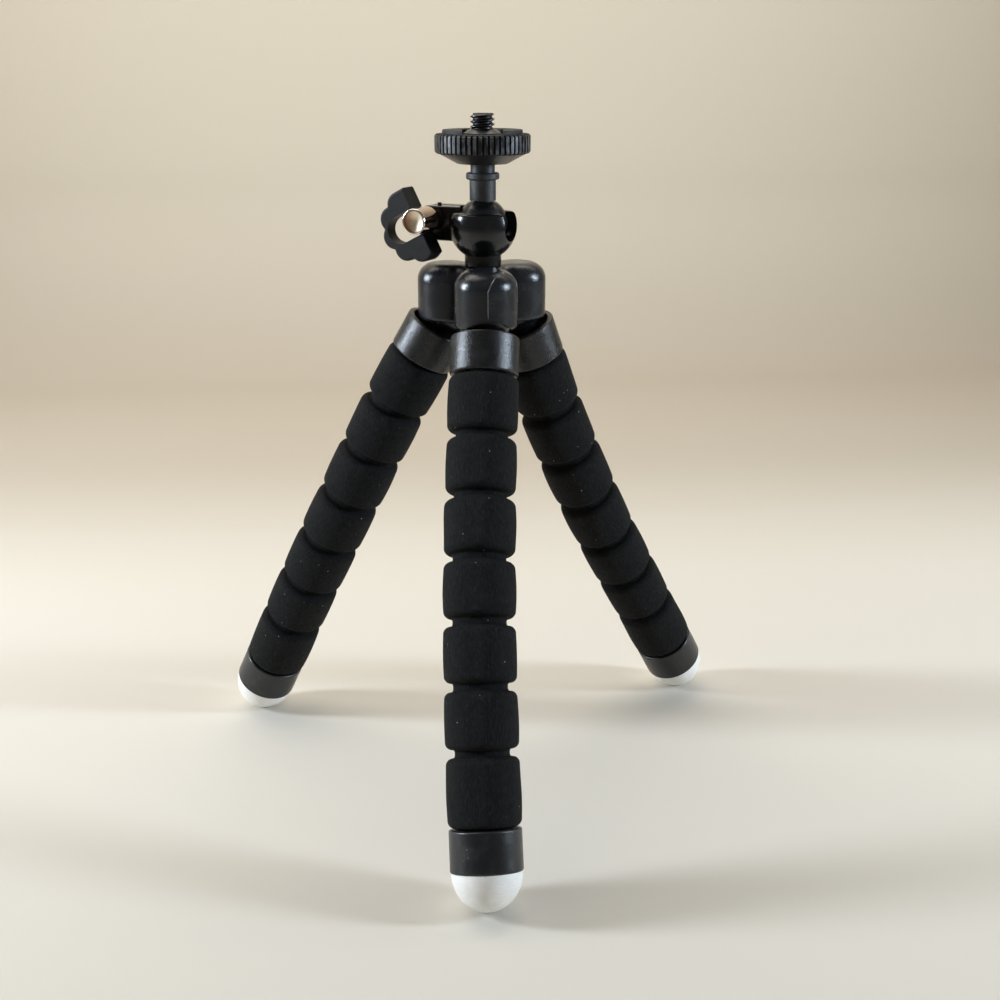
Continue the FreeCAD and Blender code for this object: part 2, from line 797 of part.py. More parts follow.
def leg_wire(stations):
    """Bendable core wire from the hub to the end cap."""
    hip = stations[0][0]
    socket_radius = knuckle_radius + moving_gap
    points = [hip + UP * (socket_radius + anchor_depth - seat_gap)]
    points.extend(station[0] for station in stations)
    last, tilt, azimuth = stations[-1]
    reach = last_run + cap_socket_depth + cap_wire_depth - moving_gap
    points.append(last + run_direction(tilt, azimuth) * reach)
    halves = [hip_bend_half_length] + [foam_gap / 2.0] * grooves
    return bar_along(points, halves, wire_radius)


def leg_sleeve(stations):
    """Foam tube around the wire that shows as the neck of every groove."""
    hip, tilt, azimuth = stations[0]
    points = [hip + run_direction(tilt, azimuth) * sleeve_start]
    points.extend(station[0] for station in stations[1:])
    last, tilt, azimuth = stations[-1]
    reach = last_run + cap_socket_depth - moving_gap
    points.append(last + run_direction(tilt, azimuth) * reach)
    halves = [foam_gap / 2.0] * grooves
    outside = bar_along(points, halves, sleeve_radius)
    return outside.cut(bar_along(points, halves, wire_radius + moving_gap))


def leg_pieces(name, pose):
    """All pieces of one leg by node name."""
    stations = leg_stations(pose)
    pieces = {
        name + "_knuckle": on_run(leg_knuckle(), stations[0]),
        name + "_collar": on_run(leg_collar(), stations[0]),
        name + "_wire": leg_wire(stations),
        name + "_sleeve": leg_sleeve(stations),
    }
    half_gap = foam_gap / 2.0
    first = foam_segment(groove_pitch - half_gap - moving_gap)
    middle = foam_segment(groove_pitch - foam_gap)
    last = foam_segment(last_run - half_gap - moving_gap)
    pieces[name + "_foam_1"] = on_run(first, stations[0], collar_bottom + moving_gap)
    for index in range(1, grooves):
        pieces["%s_foam_%d" % (name, index + 1)] = on_run(middle, stations[index], half_gap)
    pieces["%s_foam_%d" % (name, grooves + 1)] = on_run(last, stations[-1], half_gap)
    pieces[name + "_end_cap"] = on_run(end_cap(), stations[-1], last_run)
    pieces[name + "_foot_tip"] = on_run(foot_tip(), stations[-1], last_run)
    return pieces


# Whole tripod


def tripod():
    """Every piece by node name, in the head's frame."""
    pieces = {
        "camera_screw": camera_screw(),
        "mount_pad": mount_pad(),
        "lock_wheel": lock_wheel(),
        "stem": stem(),
        "ball": ball(),
        "ball_housing": ball_housing(),
        "clamp_bolt": clamp_bolt(),
        "clamp_nut": clamp_nut(),
        "clamp_barrel": clamp_barrel(),
        "clamp_knob": clamp_knob(),
        "hub": hub(),
        "hub_screw": hub_screw(),
        "hub_washer": hub_washer(),
    }
    for name, pose in legs.items():
        pieces.update(leg_pieces(name, pose))
    return pieces


def standing(pieces):
    """Moves the pieces so the middle of their bounding box's base is the origin."""
    box = FreeCAD.BoundBox()
    for shape in pieces.values():
        box.add(shape.optimalBoundingBox(False))
    shift = Vector(-box.Center.x, -box.Center.y, -box.ZMin)
    for shape in pieces.values():
        shape.translate(shift)
    return shift


os.makedirs("parts", exist_ok=True)
all_pieces = tripod()
move = standing(all_pieces)
print("moved by %.4f %.4f %.4f" % (move.x, move.y, move.z))
for node, solid in all_pieces.items():
    solid.exportStep("parts/%s.step" % node)
print("%d pieces" % len(all_pieces))
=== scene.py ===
import math

import bpy
import numpy as np
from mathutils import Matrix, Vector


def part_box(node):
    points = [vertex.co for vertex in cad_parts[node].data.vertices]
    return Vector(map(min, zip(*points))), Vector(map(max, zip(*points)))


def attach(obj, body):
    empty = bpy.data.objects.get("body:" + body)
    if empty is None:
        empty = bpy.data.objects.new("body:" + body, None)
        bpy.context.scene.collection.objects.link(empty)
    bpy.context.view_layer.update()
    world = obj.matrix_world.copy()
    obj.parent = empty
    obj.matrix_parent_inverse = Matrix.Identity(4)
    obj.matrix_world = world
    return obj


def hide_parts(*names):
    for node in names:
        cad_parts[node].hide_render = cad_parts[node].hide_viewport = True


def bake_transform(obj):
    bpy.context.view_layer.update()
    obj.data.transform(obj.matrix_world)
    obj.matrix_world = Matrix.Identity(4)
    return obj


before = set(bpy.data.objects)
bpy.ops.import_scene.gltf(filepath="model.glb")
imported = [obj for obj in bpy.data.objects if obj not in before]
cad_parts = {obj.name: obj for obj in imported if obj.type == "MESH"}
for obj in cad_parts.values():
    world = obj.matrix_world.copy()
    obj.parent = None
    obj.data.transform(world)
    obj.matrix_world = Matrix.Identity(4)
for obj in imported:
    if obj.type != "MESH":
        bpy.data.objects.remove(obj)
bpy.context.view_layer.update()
mm = 0.001
print("stage: frame loaded,", len(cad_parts), "nodes")


def rgb(red, green, blue):
    return (red, green, blue, 1.0)


# The head's axis and the height of the hip pivots place everything else.
screwTop = 51.1 * mm
wheelLow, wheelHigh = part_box("lock_wheel")
headFoot = np.array([
    (wheelLow.x + wheelHigh.x) / 2,
    (wheelLow.y + wheelHigh.y) / 2,
    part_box("camera_screw")[1].z - screwTop,
])

# Where the clamp screw crosses its ears: out from the head's axis, and the turn of its own frame,
# X to the ball, Y up and Z out to the knob.
clampShape = {"azimuth": -120.0, "reach": 13.4, "height": 24.3, "turn": -30.0}


def ringDirection(azimuth):
    # level direction from an axis, counted from the front
    angle = math.radians(azimuth)
    return np.array([math.sin(angle), -math.cos(angle), 0.0])


clampPoint = headFoot + ringDirection(clampShape["azimuth"]) * clampShape["reach"] * mm
clampPoint[2] += clampShape["height"] * mm
clampTurn = (math.radians(90), 0, math.radians(clampShape["turn"]))

# Camera, light and stage

view = {
    "offset": (-24.61, -346.97, 61.49),   # from the hip pivots' centre, in mm
    "pitch": 71.71,
    "turn": -4.8,
    "lens": 46.8,
    "sensor": 36.0,
    "clipStart": 0.01,
}

stageLook = {
    "floor": rgb(0.63, 0.585, 0.505),
    "back": rgb(0.47, 0.415, 0.335),
    "wall": rgb(0.66, 0.60, 0.49),
    "mottle": rgb(0.6, 0.6, 0.6),
    "mottleScale": 3.0,
    "mottleSpan": (0.3, 0.7),
    "mottleShare": 0.05,
    "rough": 0.8,
    "backSpan": (0.14, 0.34),
    "wallBlend": 1.2,
    "floorSize": 1.6,
    "floorFront": -1.2,
    "wallDistance": 0.62,
    "bendRadius": 0.12,
    "bendPoints": 24,
    "wallHeight": 1.2,
}

lamps = {
    # name: (place, aim, size across, size up, spread in degrees, watts, colour)
    "leftWindow": ((-0.70, 0.05, 0.31), (0, 0, 0.14), 0.09, 0.28, 125, 3.0, (0.78, 0.88, 1.0)),
    "rightWindow": ((0.68, -0.14, 0.31), (0, 0, 0.14), 0.07, 0.26, 125, 2.2, (0.72, 0.85, 1.0)),
    "wallWash": ((-0.10, 0.22, 0.60), (-0.10, 0.62, 0.20), 1.30, 0.20, 180, 2.6, (1.0, 0.94, 0.85)),
    "topPanel": ((-0.12, 0.42, 0.95), (0.0, 0.25, 0.1), 1.20, 0.70, 180, 5.4, (1.0, 0.95, 0.86)),
}

worldLook = {"colour": rgb(1.0, 0.985, 0.96), "level": 0.16}


def placeCamera():
    camera = bpy.data.cameras.new("camera")
    camera.lens = view["lens"]
    camera.sensor_width = view["sensor"]
    camera.clip_start = view["clipStart"]
    holder = bpy.data.objects.new("camera", camera)
    holder.location = headFoot + np.array(view["offset"]) * mm
    holder.rotation_euler = (math.radians(view["pitch"]), 0, math.radians(view["turn"]))
    bpy.context.scene.collection.objects.link(holder)
    bpy.context.scene.camera = holder


def placeLamp(name, place, aim, across, up, spread, watts, colour):
    lamp = bpy.data.lights.new(name, "AREA")
    lamp.shape = "RECTANGLE"
    lamp.size = across
    lamp.size_y = up
    lamp.energy = watts
    lamp.color = colour
    lamp.spread = math.radians(spread)
    holder = bpy.data.objects.new(name, lamp)
    holder.location = place
    toward = np.array(aim) - np.array(place)
    flat = math.hypot(toward[0], toward[1])
    holder.rotation_euler = (math.atan2(flat, -toward[2]), 0, math.atan2(-toward[0], toward[1]))
    bpy.context.scene.collection.objects.link(holder)


class Value:
    # one number or vector in a shader; Python's operators on it add Math nodes
    def __init__(self, finish, socket):
        self.finish = finish
        self.socket = socket

    def math(self, operation, *others):
        terms = dict(enumerate((self,) + others))
        return self.finish.node("ShaderNodeMath", {"operation": operation}, terms)

    def __add__(self, other):
        return self.math("ADD", other)

    def __sub__(self, other):
        return self.math("SUBTRACT", other)

    def __rsub__(self, other):
        return self.finish.node("ShaderNodeMath", {"operation": "SUBTRACT"}, {0: other, 1: self})

    def __mul__(self, other):
        return self.math("MULTIPLY", other)

    def __pow__(self, other):
        return self.math("POWER", other)

    __radd__ = __add__
    __rmul__ = __mul__

    def between(self, low, high):
        # 0 at low, 1 at high and beyond, smooth between them
        sockets = {"Value": self, "From Min": low, "From Max": high}
        return self.finish.node("ShaderNodeMapRange", {"interpolation_type": "SMOOTHSTEP"}, sockets)


class Finish:
    # one material: its node tree and its Principled shader
    def __init__(self, name, **plain):
        self.material = bpy.data.materials.new(name)
        self.material.use_nodes = True
        self.tree = self.material.node_tree
        self.shader = next(n for n in self.tree.nodes if n.type == "BSDF_PRINCIPLED")
        self.set(**plain)

    def node(self, kind, settings=None, sockets=None, out=0):
        made = self.tree.nodes.new(kind)
        for key, value in (settings or {}).items():
            setattr(made, key, value)
        for key, value in (sockets or {}).items():
            self.feed(made.inputs[key], value)
        return Value(self, made.outputs[out])

    def feed(self, socket, value):
        if isinstance(value, Value):
            self.tree.links.new(value.socket, socket)
        else:
            socket.default_value = value

    def set(self, **sockets):
        for key, value in sockets.items():
            self.feed(self.shader.inputs[key.replace("_", " ")], value)
        return self

    def place(self):
        return self.node("ShaderNodeTexCoord", out="Object")

    def attribute(self, name):
        return self.node("ShaderNodeAttribute", {"attribute_name": name}, out="Vector")

    def mapped(self, kind, **sockets):
        return self.node("ShaderNodeMapping", {"vector_type": kind}, sockets)

    def local(self, point, turn=(0, 0, 0)):
        # Object coordinates seen from a point, turned back by an XYZ angle
        return self.mapped("TEXTURE", Vector=self.place(), Location=tuple(point), Rotation=turn)

    def stretch(self, vector, scale):
        return self.mapped("POINT", Vector=vector, Scale=scale)

    def split(self, vector):
        parts = self.node("ShaderNodeSeparateXYZ", sockets={0: vector})
        return [Value(self, parts.socket.node.outputs[i]) for i in range(3)]

    def aroundAxis(self, vector):
        # distance from the Z axis, and the height along it
        x, y, z = self.split(vector)
        return (x * x + y * y) ** 0.5, z

    def noise(self, vector, scale, detail, rough=0.55):
        sockets = {"Vector": vector, "Scale": scale, "Detail": detail, "Roughness": rough}
        return self.node("ShaderNodeTexNoise", sockets=sockets)

    def cells(self, vector, scale):
        return self.node("ShaderNodeTexVoronoi", {"feature": "F1"}, {"Vector": vector, "Scale": scale})

    def grains(self, vector, look):
        # scattered grains: the middles of small cells, kept where a slower noise is high
        middles = self.cells(vector, look["scale"]).between(*look["size"])
        keep = self.noise(vector, look["scale"] * look["keepScale"], look["keepDetail"])
        return middles * keep.between(*look["keep"])

    def mix(self, share, first, second):
        sockets = {0: share, 6: first, 7: second}
        return self.node("ShaderNodeMix", {"data_type": "RGBA"}, sockets, out=2)

    def bump(self, height, distance):
        sockets = {"Height": height, "Distance": distance, "Strength": 1.0}
        return self.node("ShaderNodeBump", sockets=sockets)


def dress(finish, *names):
    for name in names:
        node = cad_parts[name]
        node.data.materials.clear()
        node.data.materials.append(finish.material)
        node.data.polygons.foreach_set("material_index", np.zeros(len(node.data.polygons), np.int32))


def glossyBlack(name, settings):
    # Moulded glossy plastic: a faint wave in the skin, a fine haze, and a few dust grains and rubs.
    made = Finish(name, IOR=1.5)
    place = made.place()
    wave = made.noise(place, settings["waveScale"], 2.0)
    pores = made.noise(place, settings["poreScale"], 2.0)
    haze = made.noise(place, settings["hazeScale"], 4.0).between(*settings["hazeSpan"])
    dust = made.grains(place, settings["dustGrains"])
    rubs = made.noise(made.stretch(place, settings["rubStretch"]), settings["rubScale"], 3.0)
    colour = made.mix(haze * settings["wornShare"], settings["deep"], settings["worn"])
    colour = made.mix(dust * settings["dustShare"], colour, settings["dust"])
    rough = settings["rough"] + haze * settings["hazeRough"]
    rough = rough + rubs.between(*settings["rubSpan"]) * settings["rubRough"] + dust * settings["dustRough"]
    normal = made.bump(wave + pores * settings["poreShare"], settings["waveDepth"])
    return made.set(Base_Color=colour, Roughness=rough, Normal=normal)


glossy = {
    "deep": rgb(0.0042, 0.0045, 0.0052),
    "worn": rgb(0.0085, 0.009, 0.010),
    "wornShare": 0.5,
    "dust": rgb(0.22, 0.21, 0.20),
    "dustShare": 0.55,
    "dustGrains": {
        "scale": 520.0, "size": (0.10, 0.05), "keepScale": 0.37, "keepDetail": 1.0, "keep": (0.60, 0.66),
    },
    "rough": 0.17,
    "hazeRough": 0.10,
    "rubRough": 0.10,
    "dustRough": 0.4,
    "waveScale": 190.0,
    "waveDepth": 0.00006,
    "poreScale": 3600.0,
    "poreShare": 0.10,
    "hazeScale": 240.0,
    "hazeSpan": (0.42, 0.68),
    "rubStretch": (1.0, 1.0, 9.0),
    "rubScale": 320.0,
    "rubSpan": (0.66, 0.74),
}
hubLook = dict(
    glossy,
    deep=rgb(0.0100, 0.0112, 0.0140),
    worn=rgb(0.017, 0.018, 0.021),
    rough=0.19,
    poreShare=0.75,
)
# painted highlight: the seam bead is coloured a paler grey than the hub, as if it caught the light
seamHighlightLook = dict(glossy, deep=rgb(0.07, 0.07, 0.073), worn=rgb(0.09, 0.09, 0.09))
ballLook = dict(glossy, rough=0.22)


def grainyBlack(name, settings):
    # Spark-eroded plastic: a dense pebble of small pits, greyed on its high spots. The face where the
    # disc was halved is smoother and darker.
    made = Finish(name, IOR=1.5, Specular_IOR_Level=settings["sheen"])
    place = made.local(clampPoint, clampTurn)
    disc = made.mapped("TEXTURE", Vector=place, Rotation=(0, 0, math.radians(settings["knobTurn"])))
    halved = made.split(disc)[0].between(*settings["chordSpan"])
    pebble = made.cells(place, settings["pebbleScale"])
    fine = made.noise(place, settings["fineScale"], 3.0)
    soft = made.noise(place, settings["softScale"], 2.0).between(*settings["softSpan"])
    high = (pebble * settings["pebbleHigh"] + fine * settings["fineHigh"]).between(*settings["highSpan"])
    colour = made.mix(high, settings["low"], settings["high"])
    colour = made.mix(soft * settings["wornShare"], colour, settings["worn"])
    colour = made.mix(halved * settings["halvedShare"], colour, settings["low"])
    height = (pebble + fine * settings["fineShare"]) * (1 - halved * settings["halvedFlat"])
    rough = settings["rough"] + fine * settings["fineRough"] - halved * settings["halvedGloss"]
    return made.set(Base_Color=colour, Roughness=rough, Normal=made.bump(height, settings["depth"]))


grainy = {
    "low": rgb(0.0022, 0.0022, 0.0024),
    "high": rgb(0.0065, 0.0065, 0.0067),
    "worn": rgb(0.013, 0.013, 0.013),
    "wornShare": 0.5,
    "sheen": 0.30,
    "rough": 0.40,
    "pebbleScale": 3000.0,
    "pebbleHigh": 0.9,
    "fineScale": 4200.0,
    "fineHigh": 0.6,
    "fineShare": 0.8,
    "fineRough": 0.16,
    "highSpan": (0.35, 0.95),
    "softScale": 260.0,
    "softSpan": (0.45, 0.75),
    "depth": 0.00005,
    "knobTurn": 27.4,
    "chordSpan": (0.33 * mm, 0.41 * mm),
    "halvedShare": 0.8,
    "halvedFlat": 0.85,
    "halvedGloss": 0.10,
}


def ribbedBlack(name, settings):
    # Satin knurled plastic: the grooves between the ribs are darkened with painted shade, the rib tops
    # are rubbed paler, and a fine pore runs over everything.
    made = Finish(name, IOR=1.5)
    place = made.local(headFoot)
    radius, height = made.aroundAxis(place)
    top = radius.between(*settings["ribSpan"])
    side = height.between(*settings["sideSpan"])
    pores = made.noise(place, settings["poreScale"], 3.0)
    haze = made.noise(place, settings["hazeScale"], 4.0).between(*settings["hazeSpan"])
    rubs = made.noise(made.stretch(place, settings["rubStretch"]), settings["rubScale"], 2.0)
    rubbed = top * side * rubs.between(*settings["rubSpan"])
    groove = (1 - top) * side
    colour = made.mix(haze, settings["deep"], settings["pale"])
    colour = made.mix(rubbed * settings["rubShare"], colour, settings["rib"])
    # painted shade: the grooves between the ribs are darkened nearly to black
    colour = made.mix(groove * settings["grooveShadeShare"], colour, settings["grooveShade"])
    rough = settings["rough"] + haze * settings["hazeRough"] + pores * settings["poreRough"]
    rough = rough + groove * settings["grooveRough"]
    return made.set(Base_Color=colour, Roughness=rough, Normal=made.bump(pores, settings["depth"]))


ribbed = {
    "deep": rgb(0.0050, 0.0053, 0.0060),
    "pale": rgb(0.0095, 0.010, 0.011),
    "rib": rgb(0.105, 0.108, 0.116),
    # colour of the painted shade in the grooves
    "grooveShade": rgb(0.0010, 0.0010, 0.0011),
    "rubShare": 0.8,
    "grooveShadeShare": 0.95,
    "ribSpan": (12.05 * mm, 12.38 * mm),
    "sideSpan": (40.9 * mm, 41.2 * mm),
    "rough": 0.27,
    "hazeRough": 0.10,
    "poreRough": 0.08,
    "grooveRough": 0.45,
    "poreScale": 2400.0,
    "hazeScale": 380.0,
    "hazeSpan": (0.40, 0.70),
    "rubScale": 900.0,
    "rubStretch": (1.0, 1.0, 0.4),
    "rubSpan": (0.40, 0.62),
    "depth": 0.00005,
}


def metal(name, settings):
    # Turned metal: rings around the head's axis and fine scratches over a brushed colour.
    made = Finish(name, Metallic=settings["metallic"])
    place = made.place()
    rings = made.noise(made.stretch(place, settings["ringStretch"]), settings["ringScale"], 2.0)
    stain = made.noise(place, settings["stainScale"], 4.0)
    pits = made.noise(place, settings["pitScale"], 3.0)
    colour = made.mix(stain.between(*settings["stainSpan"]), settings["clean"], settings["stained"])
    rough = settings["rough"] + rings * settings["ringRough"] + stain * settings["stainRough"]
    normal = made.bump(rings * settings["ringShare"] + pits * settings["pitShare"], settings["depth"])
    return made.set(Base_Color=colour, Roughness=rough, Normal=normal)


stemLook = {
    "metallic": 0.0,
    "clean": rgb(0.010, 0.010, 0.011),
    "stained": rgb(0.030, 0.029, 0.031),
    "rough": 0.36,
    "ringRough": 0.14,
    "stainRough": 0.10,
    "ringStretch": (1.0, 1.0, 14.0),
    "ringScale": 300.0,
    "ringShare": 0.5,
    "stainScale": 420.0,
    "stainSpan": (0.38, 0.70),
    "pitScale": 2600.0,
    "pitShare": 1.0,
    "depth": 0.00009,
}
boltLook = dict(
    stemLook,
    metallic=1.0,
    clean=rgb(0.66, 0.60, 0.50),
    stained=rgb(0.50, 0.44, 0.35),
    rough=0.30,
    depth=0.00004,
)
hiddenScrewLook = dict(boltLook, rough=0.2)


def barrelMetal(name, settings):
    # Bright plated cap, plain on its outside. The cup in its face is dull and cream, with brown painted
    # shade along its rim and on the far side from the ball, and the cap's foot is browned where it meets the
    # knob.
    made = Finish(name)
    place = made.local(clampPoint, clampTurn)
    fromBall = made.split(place)[0]
    radius, height = made.aroundAxis(place)
    cloud = made.noise(place, settings["cloudScale"], 4.0)
    swirl = made.noise(place, settings["swirlScale"], 3.0, settings["swirlRough"])
    inside = radius.between(*settings["cupSpan"]) * height.between(*settings["mouthSpan"])
    # painted shade: the cup's far side from the ball, with a wavering edge
    brown = (fromBall * -1.0 + (swirl - 0.5) * settings["swirlWaver"]).between(*settings["farShadeSpan"])
    foot = (height + (cloud - 0.5) * settings["footWaver"]).between(*settings["footSpan"])
    cup = made.mix(brown * settings["farShadeShare"], settings["cream"], settings["brown"])
    # painted shade: a brown ring along the cup's rim
    cup = made.mix(radius.between(*settings["rimShadeSpan"]) * settings["rimShadeShare"], cup, settings["brown"])
    creamed = cloud.between(*settings["creamSpan"]) * settings["creamShare"]
    colour = made.mix(creamed, settings["bright"], settings["cream"])
    colour = made.mix(foot * settings["footShare"], colour, settings["brown"])
    colour = made.mix(inside, colour, cup)
    rough = settings["rough"] + inside * settings["cupRough"] + cloud * settings["cloudRough"]
    return made.set(Base_Color=colour, Roughness=rough, Metallic=1 - inside * settings["cupDullness"])


barrelLook = {
    "bright": rgb(0.88, 0.86, 0.82),
    "cream": rgb(0.86, 0.73, 0.55),
    "creamSpan": (0.5, 0.8),
    "creamShare": 0.3,
    "brown": rgb(0.42, 0.21, 0.10),
    "farShadeSpan": (0.4 * mm, 2.6 * mm),
    "farShadeShare": 0.75,
    "swirlScale": 520.0,
    "swirlRough": 2.5,
    "swirlWaver": 3.6 * mm,
    "cupSpan": (2.97 * mm, 2.87 * mm),
    "mouthSpan": (13.58 * mm, 13.50 * mm),
    "rimShadeSpan": (2.50 * mm, 2.75 * mm),
    "rimShadeShare": 0.8,
    "footSpan": (13.4 * mm, 12.6 * mm),
    "footShare": 0.6,
    "footWaver": 1.2 * mm,
    "rough": 0.07,
    "cupRough": 0.30,
    "cupDullness": 0.45,
    "cloudScale": 420.0,
    "cloudRough": 0.05,
}


def screwMetal(name, settings):
    # Blackened screw: shining crests, darker and duller towards the root of the thread and down the
    # shaft.
    made = Finish(name, Metallic=1.0)
    place = made.local(headFoot)
    radius, height = made.aroundAxis(place)
    root = radius.between(*settings["rootSpan"]) * height.between(*settings["threadSpan"])
    shaft = 1 - height.between(*settings["shaftSpan"])
    stain = made.noise(place, settings["stainScale"], 4.0).between(*settings["stainSpan"])
    scratch = made.noise(made.stretch(place, settings["scratchStretch"]), settings["scratchScale"], 3.0)
    colour = made.mix(root * settings["rootShare"], settings["bright"], settings["dark"])
    colour = made.mix(stain * settings["stainShare"], colour, settings["stained"])
    colour = made.mix(shaft * settings["shaftShare"], colour, settings["shaft"])
    rough = settings["rough"] + stain * settings["stainRough"] + root * settings["rootRough"]
    rough = rough + scratch * settings["scratchRough"] + shaft * settings["shaftRough"]
    return made.set(Base_Color=colour, Roughness=rough, Normal=made.bump(scratch, settings["depth"]))


screwLook = {
    "bright": rgb(0.085, 0.085, 0.088),
    "shaft": rgb(0.040, 0.040, 0.042),
    "shaftShare": 0.7,
    "shaftRough": 0.20,
    "shaftSpan": (43.0 * mm, 44.0 * mm),
    "stained": rgb(0.040, 0.039, 0.038),
    "stainShare": 0.35,
    "stainRough": 0.12,
    "stainScale": 900.0,
    "stainSpan": (0.45, 0.72),
    "dark": rgb(0.010, 0.010, 0.010),
    "rootShare": 0.65,
    "rootRough": 0.2,
    "rootSpan": (3.05 * mm, 2.5 * mm),
    "threadSpan": (47.1 * mm, 47.5 * mm),
    "rough": 0.24,
    "scratchScale": 500.0,
    "scratchStretch": (1.0, 1.0, 12.0),
    "scratchRough": 0.06,
    "depth": 0.00002,
}


def padRubber(name, settings):
    # Soft ring: matte, with faint turned rings and grey dust in them.
    made = Finish(name, IOR=1.45)
    place = made.local(headFoot)
    radius = made.aroundAxis(place)[0]
    ridges = (radius * (2 * math.pi / settings["ridgePitch"])).math("SINE") * 0.5 + 0.5
    pores = made.noise(place, settings["poreScale"], 3.0)
    dust = made.noise(place, settings["dustScale"], 4.0).between(*settings["dustSpan"])
    colour = made.mix(dust * settings["dustShare"], settings["deep"], settings["dusty"])
    rough = settings["rough"] + pores * settings["poreRough"]
    normal = made.bump(ridges * settings["ridgeShare"] + pores * settings["poreShare"], settings["depth"])
    return made.set(Base_Color=colour, Roughness=rough, Normal=normal)


padLook = {
    "deep": rgb(0.007, 0.007, 0.0075),
    "dusty": rgb(0.022, 0.0215, 0.021),
    "dustShare": 0.7,
    "dustScale": 500.0,
    "dustSpan": (0.45, 0.75),
    "rough": 0.50,
    "ridgePitch": 0.8 * mm,
    "ridgeShare": 0.7,
    "poreScale": 2600.0,
    "poreShare": 0.6,
    "poreRough": 0.2,
    "depth": 0.00008,
}


def legFinish(name, station, settings):
    # Satin moulded plastic on a leg: pores, and fine rings around that leg's own axis.
    made = Finish(name, IOR=1.5)
    place = made.local(station.point, station.euler)
    rings = made.noise(made.stretch(place, settings["ringStretch"]), settings["ringScale"], 2.0)
    pores = made.noise(place, settings["poreScale"], 3.0)
    haze = made.noise(place, settings["hazeScale"], 4.0).between(*settings["hazeSpan"])
    flecks = made.grains(place, settings["flecks"])
    colour = made.mix(haze, settings["deep"], settings["pale"])
    colour = made.mix(flecks * settings["fleckShare"], colour, settings["fleck"])
    rough = settings["rough"] + haze * settings["hazeRough"] + pores * settings["poreRough"]
    height = rings * settings["ringShare"] + pores * settings["poreShare"]
    return made.set(Base_Color=colour, Roughness=rough, Normal=made.bump(height, settings["depth"]))


collarLook = {
    "deep": rgb(0.006, 0.006, 0.0066),
    "pale": rgb(0.012, 0.012, 0.0125),
    "fleck": rgb(0.30, 0.29, 0.27),
    "fleckShare": 0.35,
    "flecks": {
        "scale": 700.0, "size": (0.16, 0.07), "keepScale": 0.4, "keepDetail": 1.0, "keep": (0.56, 0.62),
    },
    "rough": 0.23,
    "hazeRough": 0.09,
    "poreRough": 0.08,
    "ringStretch": (1.0, 1.0, 7.0),
    "ringScale": 260.0,
    "ringShare": 0.35,
    "poreScale": 2600.0,
    "poreShare": 1.0,
    "hazeScale": 300.0,
    "hazeSpan": (0.40, 0.72),
    "depth": 0.00010,
}
capLook = dict(
    collarLook,
    deep=rgb(0.007, 0.0073, 0.0085),
    pale=rgb(0.014, 0.0145, 0.016),
    rough=0.27,
    poreShare=0.7,
    depth=0.00006,
)
knuckleLook = dict(
    collarLook,
    rough=0.14,
    hazeRough=0.08,
    poreShare=0.25,
    ringShare=0.1,
    depth=0.00005,
)
tipLook = dict(
    collarLook,
    deep=rgb(0.92, 0.90, 0.86),
    pale=rgb(0.87, 0.85, 0.80),
    fleck=rgb(0.30, 0.27, 0.23),
    fleckShare=0.30,
    flecks=dict(collarLook["flecks"], scale=600.0),
    rough=0.36,
    hazeRough=0.12,
    ringStretch=(1.0, 1.0, 16.0),
    ringScale=230.0,
    ringShare=1.0,
    poreScale=2300.0,
    poreShare=0.5,
    hazeScale=260.0,
)


def foamFinish(name, settings):
    # Skinned foam rubber in the leg's own coordinates (mm): fibrous grain down the leg, open pores,
    # pale specks caught in them and a few threads of lint.
    made = Finish(name, IOR=1.4, Specular_IOR_Level=settings["sheen"])
    place = made.attribute("legPlace")
    drawn = made.stretch(place, settings["fibreStretch"])
    fibre = made.noise(drawn, settings["fibreScale"], 4.0, settings["fibreRough"])
    pores = made.cells(place, settings["poreScale"])
    cloud = made.noise(place, settings["cloudScale"], 3.0).between(*settings["cloudSpan"])
    grit = made.noise(place, settings["gritScale"], 2.0, settings["gritGrain"])
    specks = made.grains(place, settings["specks"])
    colour = made.mix(fibre.between(*settings["highSpan"]), settings["deep"], settings["high"])
    colour = made.mix(cloud * settings["dustyShare"], colour, settings["dusty"])
    colour = made.mix(specks * settings["speckShare"], colour, settings["speck"])
    colour = made.mix(made.grains(place, settings["threads"]), colour, settings["lint"])
    height = fibre * settings["fibreShare"] + pores * settings["poreShare"] + grit * settings["gritShare"]
    rough = settings["rough"] + grit * settings["gritRough"]
    return made.set(Base_Color=colour, Roughness=rough, Normal=made.bump(height, settings["depth"]))


foamLook = {
    "deep": rgb(0.0026, 0.0027, 0.0029),
    "high": rgb(0.0160, 0.0162, 0.0160),
    "highSpan": (0.44, 0.72),
    "dusty": rgb(0.0075, 0.0076, 0.0078),
    "dustyShare": 0.6,
    "speck": rgb(0.055, 0.054, 0.052),
    "speckShare": 0.5,
    "specks": {
        "scale": 2.2, "size": (0.20, 0.10), "keepScale": 0.45, "keepDetail": 1.0, "keep": (0.54, 0.60),
    },
    "lint": rgb(0.55, 0.54, 0.51),
    "threads": {
        "scale": 0.55, "size": (0.075, 0.045), "keepScale": 0.6, "keepDetail": 0.0, "keep": (0.62, 0.66),
    },
    "sheen": 0.22,
    "rough": 0.70,
    "fibreStretch": (1.0, 1.0, 0.28),
    "fibreScale": 2.6,
    "fibreRough": 0.62,
    "fibreShare": 0.9,
    "poreScale": 3.4,
    "poreShare": 0.6,
    "cloudScale": 0.35,
    "cloudSpan": (0.40, 0.70),
    "gritScale": 6.5,
    "gritGrain": 0.7,
    "gritShare": 0.5,
    "gritRough": 0.14,
    "depth": 0.00034,
}


# The legs: sizes in mm, angles in degrees

